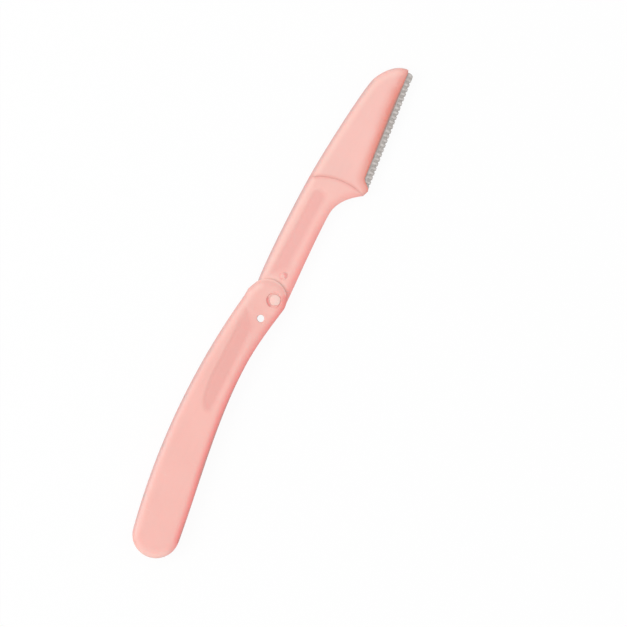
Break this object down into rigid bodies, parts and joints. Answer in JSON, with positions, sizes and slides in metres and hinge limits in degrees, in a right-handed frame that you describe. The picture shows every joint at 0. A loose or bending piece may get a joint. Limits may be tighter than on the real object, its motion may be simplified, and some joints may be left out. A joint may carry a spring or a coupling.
{
  "type": "replaceable blade folding razor",
  "caption": "Folding razor: a curved slotted handle, an arm that swings out of it, and a pull-off head that clamps a straight blade behind a metal comb guard.",
  "frame": {"origin": "centre of the pivot pin's flush flange in the back face, on the fold axis", "axes": "+X along the open razor towards the tip of the head, +Z out of the front face, and the blade's edge faces -Y"},
  "size_m": [0.1658, 0.02, 0.006],
  "materials": {
    "handle_plastic": "pink moulded plastic with a soft gloss",
    "arm_plastic": "pink moulded plastic with a soft gloss",
    "head_plastic": "pink moulded plastic with a soft gloss",
    "pin_plastic": "paler pink moulded plastic",
    "washer_plastic": "natural white low-friction plastic",
    "blade_steel": "ground stainless steel",
    "guard_steel": "pressed stainless sheet, slightly dull"
  },
  "bodies": {
    "handle": {"handle_front_scale": "handle_plastic", "handle_back_scale": "handle_plastic", "handle_spine": "handle_plastic", "pivot_pin": "pin_plastic", "pivot_washer_front": "washer_plastic", "pivot_washer_back": "washer_plastic"},
    "arm": {"arm": "arm_plastic"},
    "head": {"head_front_shell": "head_plastic", "head_back_shell": "head_plastic", "blade": "blade_steel", "comb_guard": "guard_steel"}
  },
  "joints": [
    {"name": "fold", "type": "hinge", "parent": "handle", "child": "arm", "pos_m": [0, 0, 0], "axis": [0, 0, -1], "range_deg": [0, 178]},
    {"name": "head_release", "type": "slide", "parent": "arm", "child": "head", "axis": [1, 0, 0], "range_m": [0, 0.01]}
  ]
}
